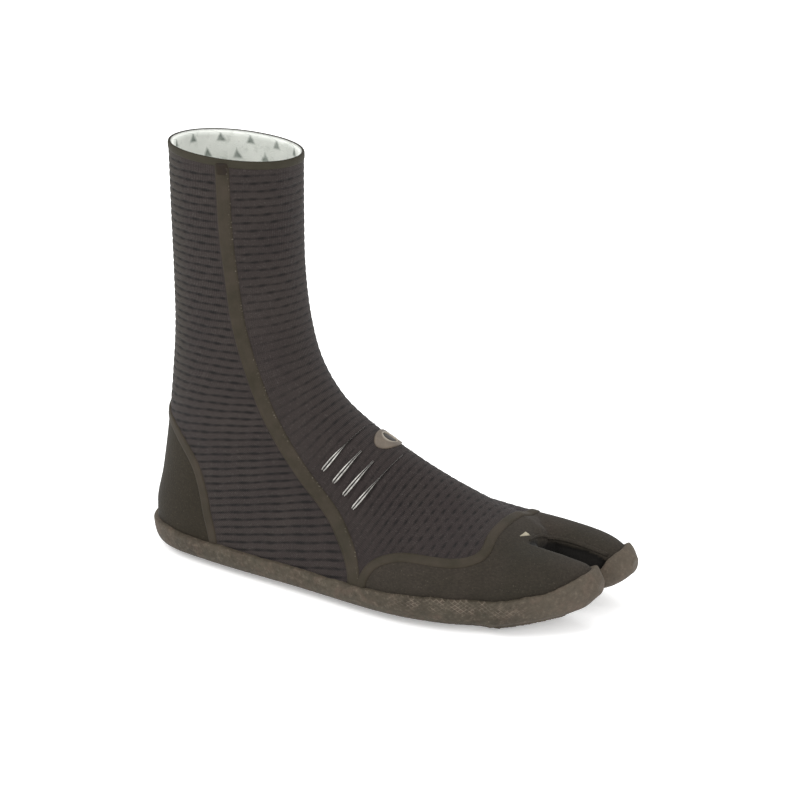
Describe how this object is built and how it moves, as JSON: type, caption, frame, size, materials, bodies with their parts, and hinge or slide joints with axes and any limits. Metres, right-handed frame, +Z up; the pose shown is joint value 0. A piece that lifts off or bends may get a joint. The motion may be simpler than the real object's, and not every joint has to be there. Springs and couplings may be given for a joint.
{
  "type": "neoprene boot",
  "caption": "Pull-on split-toe neoprene surf boot for the right foot: ribbed sleeve, knit heel and toe panels, taped seams, thin wrap-up rubber outsole.",
  "frame": {"origin": "on the ground, under the ankle, on the outsole's flat underside", "axes": "+X to the toes, +Y to the inner side of the foot, +Z up the shaft"},
  "size_m": [0.2702, 0.0988, 0.23],
  "materials": {
    "ribbed_neoprene": "ribbed, matte",
    "knit_neoprene": "fine knit, matte",
    "bottom_neoprene": "matte",
    "thermal_lining": "brushed pile with a printed pattern",
    "sole_rubber": "mottled, scuffed",
    "seam_tape": "satin",
    "cuff_edge": "satin",
    "grip_rubber": "gloss",
    "badge_rubber": "satin",
    "tack_fabric": "matte"
  },
  "bodies": {
    "foot": {"outsole": "sole_rubber", "bottom_panel": "bottom_neoprene", "heel_panel": "knit_neoprene", "toe_panel": "knit_neoprene", "front_panel_instep": "ribbed_neoprene", "front_panel_ankle": "ribbed_neoprene", "lateral_quarter_foot": "ribbed_neoprene", "lateral_quarter_ankle": "ribbed_neoprene", "medial_quarter_foot": "ribbed_neoprene", "medial_quarter_ankle": "ribbed_neoprene", "foot_lining": "thermal_lining", "ankle_lining": "thermal_lining", "lateral_tape_foot": "seam_tape", "lateral_tape_ankle": "seam_tape", "medial_tape_foot": "seam_tape", "medial_tape_ankle": "seam_tape", "back_tape_ankle": "seam_tape", "heel_tape": "seam_tape", "toe_tape": "seam_tape", "lateral_grip_ridge_1": "grip_rubber", "lateral_grip_ridge_2": "grip_rubber", "lateral_grip_ridge_3": "grip_rubber", "lateral_grip_ridge_4": "grip_rubber", "medial_grip_ridge_1": "grip_rubber", "medial_grip_ridge_2": "grip_rubber", "medial_grip_ridge_3": "grip_rubber", "medial_grip_ridge_4": "grip_rubber", "badge_ring": "badge_rubber", "badge_pad": "grip_rubber", "split_tack": "tack_fabric"},
    "shaft": {"front_panel_shin": "ribbed_neoprene", "lateral_quarter_shaft": "ribbed_neoprene", "medial_quarter_shaft": "ribbed_neoprene", "shaft_lining": "thermal_lining", "cuff_edge": "cuff_edge", "lateral_tape_shaft": "seam_tape", "medial_tape_shaft": "seam_tape", "back_tape_shaft": "seam_tape", "lateral_tape_patch": "cuff_edge", "medial_tape_patch": "cuff_edge"}
  },
  "joints": [
    {"name": "ankle_flex", "type": "hinge", "parent": "foot", "child": "shaft", "pos_m": [0.005, 0, 0.096], "axis": [0, 1, 0], "range_deg": [-30, 20], "stiffness_Nm_per_rad": 0.8, "deforming": ["front_panel_ankle", "lateral_quarter_ankle", "medial_quarter_ankle", "ankle_lining", "lateral_tape_ankle", "medial_tape_ankle", "back_tape_ankle"]}
  ]
}
